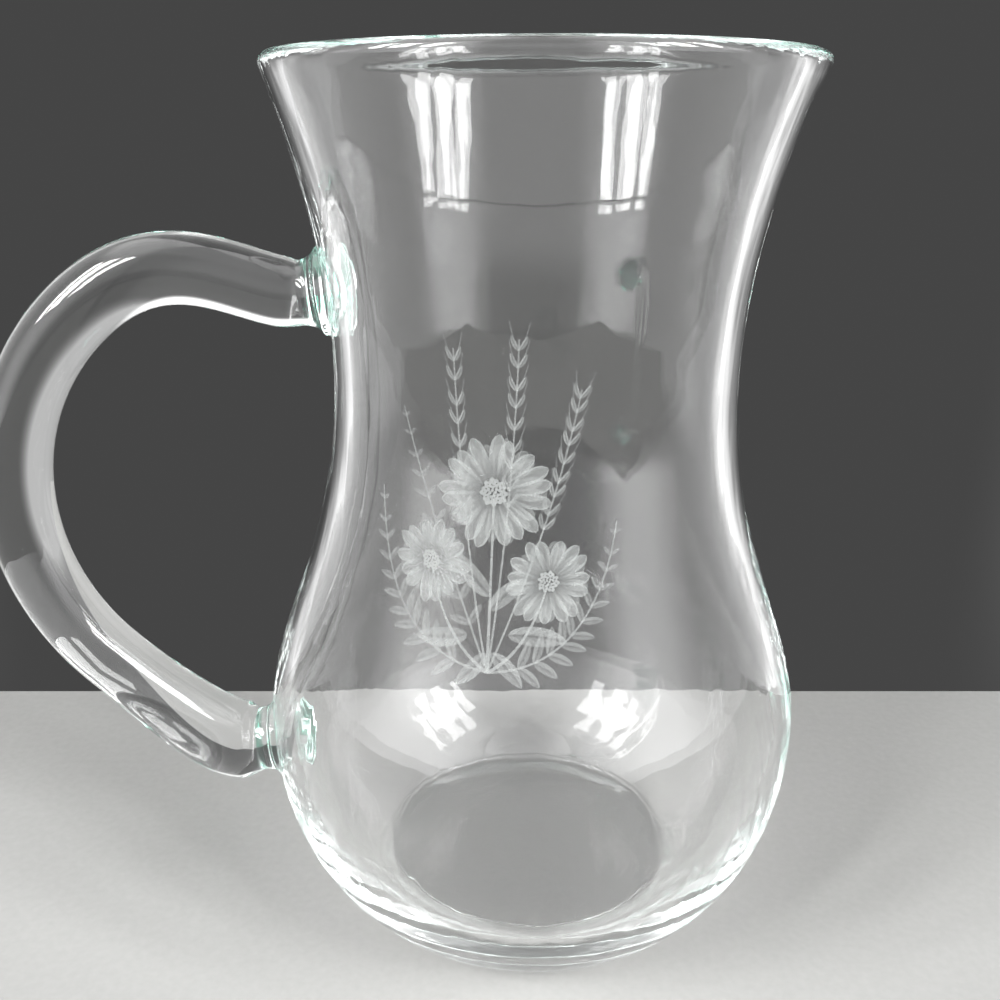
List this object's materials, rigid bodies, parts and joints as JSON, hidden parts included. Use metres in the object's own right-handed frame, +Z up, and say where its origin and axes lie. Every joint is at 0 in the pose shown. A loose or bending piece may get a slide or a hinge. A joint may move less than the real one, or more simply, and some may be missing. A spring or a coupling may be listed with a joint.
{
  "type": "glass pitcher",
  "caption": "Clear glass pitcher with a round belly, drawn-in waist, flared mouth with a slight pouring lip, and a solid glass loop handle on pressed pads.",
  "frame": {"origin": "middle of the flat base, on the pitcher's axis", "axes": "+Z up along the pitcher's axis, the handle on the -X side, the pouring lip on the +X side, and -Y the etched front"},
  "size_m": [0.218, 0.144, 0.225],
  "materials": {
    "body_glass": "fire-polished clear glass, with a frosted spray etched on the front",
    "handle_glass": "fire-polished clear glass rod",
    "pad_glass": "pressed clear glass with a faint aqua tint where it is thick"
  },
  "bodies": {
    "root": {"body": "body_glass", "handle": "handle_glass", "upper_handle_pad": "pad_glass", "lower_handle_pad": "pad_glass"}
  },
  "joints": []
}
